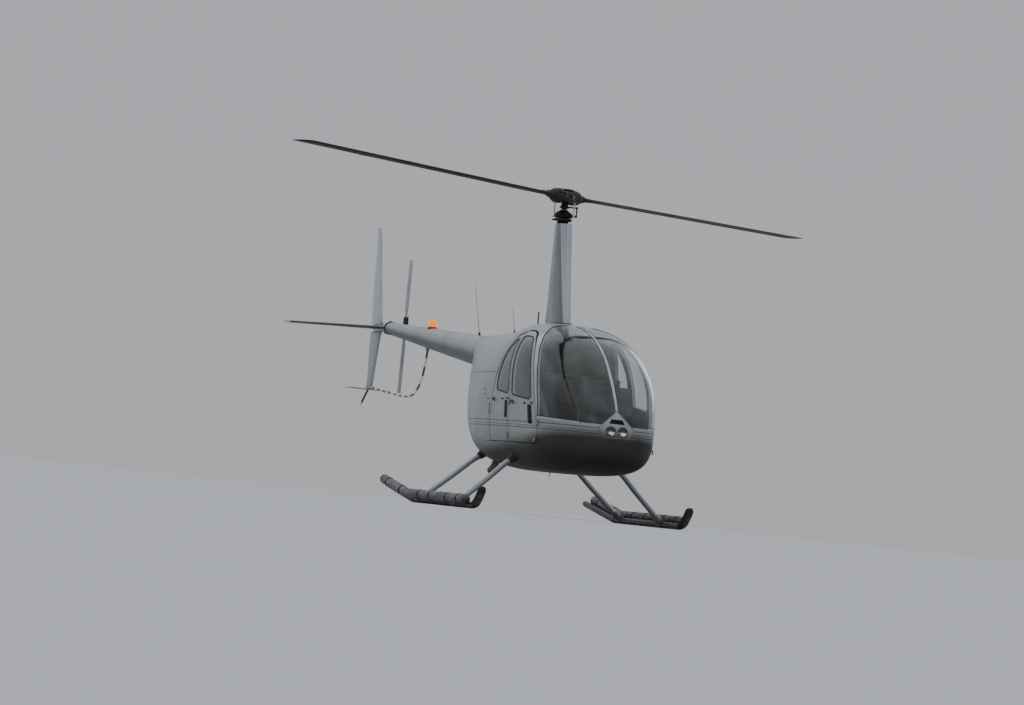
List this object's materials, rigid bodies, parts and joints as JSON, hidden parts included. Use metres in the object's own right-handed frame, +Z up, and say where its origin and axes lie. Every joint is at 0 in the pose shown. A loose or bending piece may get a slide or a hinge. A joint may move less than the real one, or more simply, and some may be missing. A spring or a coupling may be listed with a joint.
{
  "type": "light four-seat helicopter on skids",
  "caption": "Four-seat light helicopter with a teetering main rotor, tail rotor, bubble cabin with opening doors, and skids that carry stowed float bags.",
  "frame": {"origin": "on the ground under the middle of the whole machine, blades included", "axes": "+X towards the nose, +Y to port, +Z up"},
  "size_m": [9.9001, 7.623, 3.28],
  "materials": {
    "silver_paint": "silver metallic paint, gloss",
    "belly_paint": "silver metallic paint, road grime",
    "acrylic": "clear acrylic",
    "lamp_chrome": "polished reflector",
    "cabin_trim": "grey trim",
    "seat_leather": "dark leather",
    "console_black": "matt black",
    "cast_alloy": "cast metal",
    "exhaust_steel": "heat stained steel",
    "rotor_black": "satin black",
    "shaft_steel": "ground steel",
    "tail_blade_grey": "grey",
    "guard_stripes": "red and white bands",
    "beacon_red": "glowing red lens",
    "antenna_black": "black",
    "skid_dark": "worn dark paint",
    "float_cover": "grey coated cloth cover"
  },
  "bodies": {
    "airframe": {"nose_shell": "silver_paint", "belly_panel": "belly_paint", "roof_panel": "silver_paint", "pillar_front_right": "silver_paint", "pillar_front_left": "silver_paint", "pillar_middle_right": "belly_paint", "pillar_middle_left": "belly_paint", "cowling_right": "silver_paint", "cowling_left": "silver_paint", "upper_cowling": "silver_paint", "windshield_right": "acrylic", "windshield_left": "acrylic", "windshield_post": "silver_paint", "lamp_housing": "silver_paint", "landing_lamps": "lamp_chrome", "cabin_floor": "cabin_trim", "seat_front_right": "seat_leather", "seat_front_left": "seat_leather", "seat_rear": "seat_leather", "instrument_console": "console_black", "flight_controls": "console_black", "engine": "cast_alloy", "main_gearbox": "cast_alloy", "exhaust_pipe": "exhaust_steel", "mast_fairing": "silver_paint", "swashplate": "rotor_black", "tail_cone": "silver_paint", "tail_carrier": "belly_paint", "fin_upper": "silver_paint", "fin_lower": "silver_paint", "horizontal_stabilizer": "rotor_black", "tail_plate": "belly_paint", "tail_skid": "rotor_black", "tail_gearbox": "cast_alloy", "tail_rotor_guard": "guard_stripes", "beacon": "beacon_red", "antenna_boom": "antenna_black", "crosstube_front": "silver_paint", "crosstube_rear": "silver_paint", "skid_right": "skid_dark", "skid_left": "skid_dark", "float_bag_right": "float_cover", "float_bag_left": "float_cover"},
    "rotor_mast": {"rotor_shaft": "shaft_steel"},
    "rotor_head": {"rotor_hub": "rotor_black", "main_blade_a": "rotor_black", "main_blade_b": "rotor_black"},
    "tail_rotor": {"tail_rotor_hub": "rotor_black", "tail_blade_a": "tail_blade_grey", "tail_blade_b": "tail_blade_grey"},
    "door_front_right": {"door_front_right": "silver_paint", "window_front_right": "acrylic"},
    "door_rear_right": {"door_rear_right": "silver_paint", "window_rear_right": "acrylic"},
    "door_front_left": {"door_front_left": "silver_paint", "window_front_left": "acrylic"},
    "door_rear_left": {"door_rear_left": "silver_paint", "window_rear_left": "acrylic"}
  },
  "joints": [
    {"name": "main_rotor_spin", "type": "hinge", "parent": "airframe", "child": "rotor_mast", "pos_m": [1.515, 0, 2.5], "axis": [0, 0, 1], "continuous": true},
    {"name": "main_rotor_teeter", "type": "hinge", "parent": "rotor_mast", "child": "rotor_head", "pos_m": [1.515, 0, 3.205], "axis": [0.7361, 0.6769, 0], "range_deg": [-5, 5]},
    {"name": "tail_rotor_spin", "type": "hinge", "parent": "airframe", "child": "tail_rotor", "pos_m": [-4.355, 0.25, 1.905], "axis": [0, 1, 0], "continuous": true},
    {"name": "door_front_right_hinge", "type": "hinge", "parent": "airframe", "child": "door_front_right", "pos_m": [3.177, -0.6, 1], "axis": [0, 0.0599, 0.9982], "range_deg": [0, 78]},
    {"name": "door_rear_right_hinge", "type": "hinge", "parent": "airframe", "child": "door_rear_right", "pos_m": [2.403, -0.655, 1], "axis": [0, -0.03, 0.9996], "range_deg": [0, 80]},
    {"name": "door_front_left_hinge", "type": "hinge", "parent": "airframe", "child": "door_front_left", "pos_m": [3.177, 0.6, 1], "axis": [0, 0.0599, -0.9982], "range_deg": [0, 78]},
    {"name": "door_rear_left_hinge", "type": "hinge", "parent": "airframe", "child": "door_rear_left", "pos_m": [2.403, 0.655, 1], "axis": [0, -0.03, -0.9996], "range_deg": [0, 80]}
  ]
}
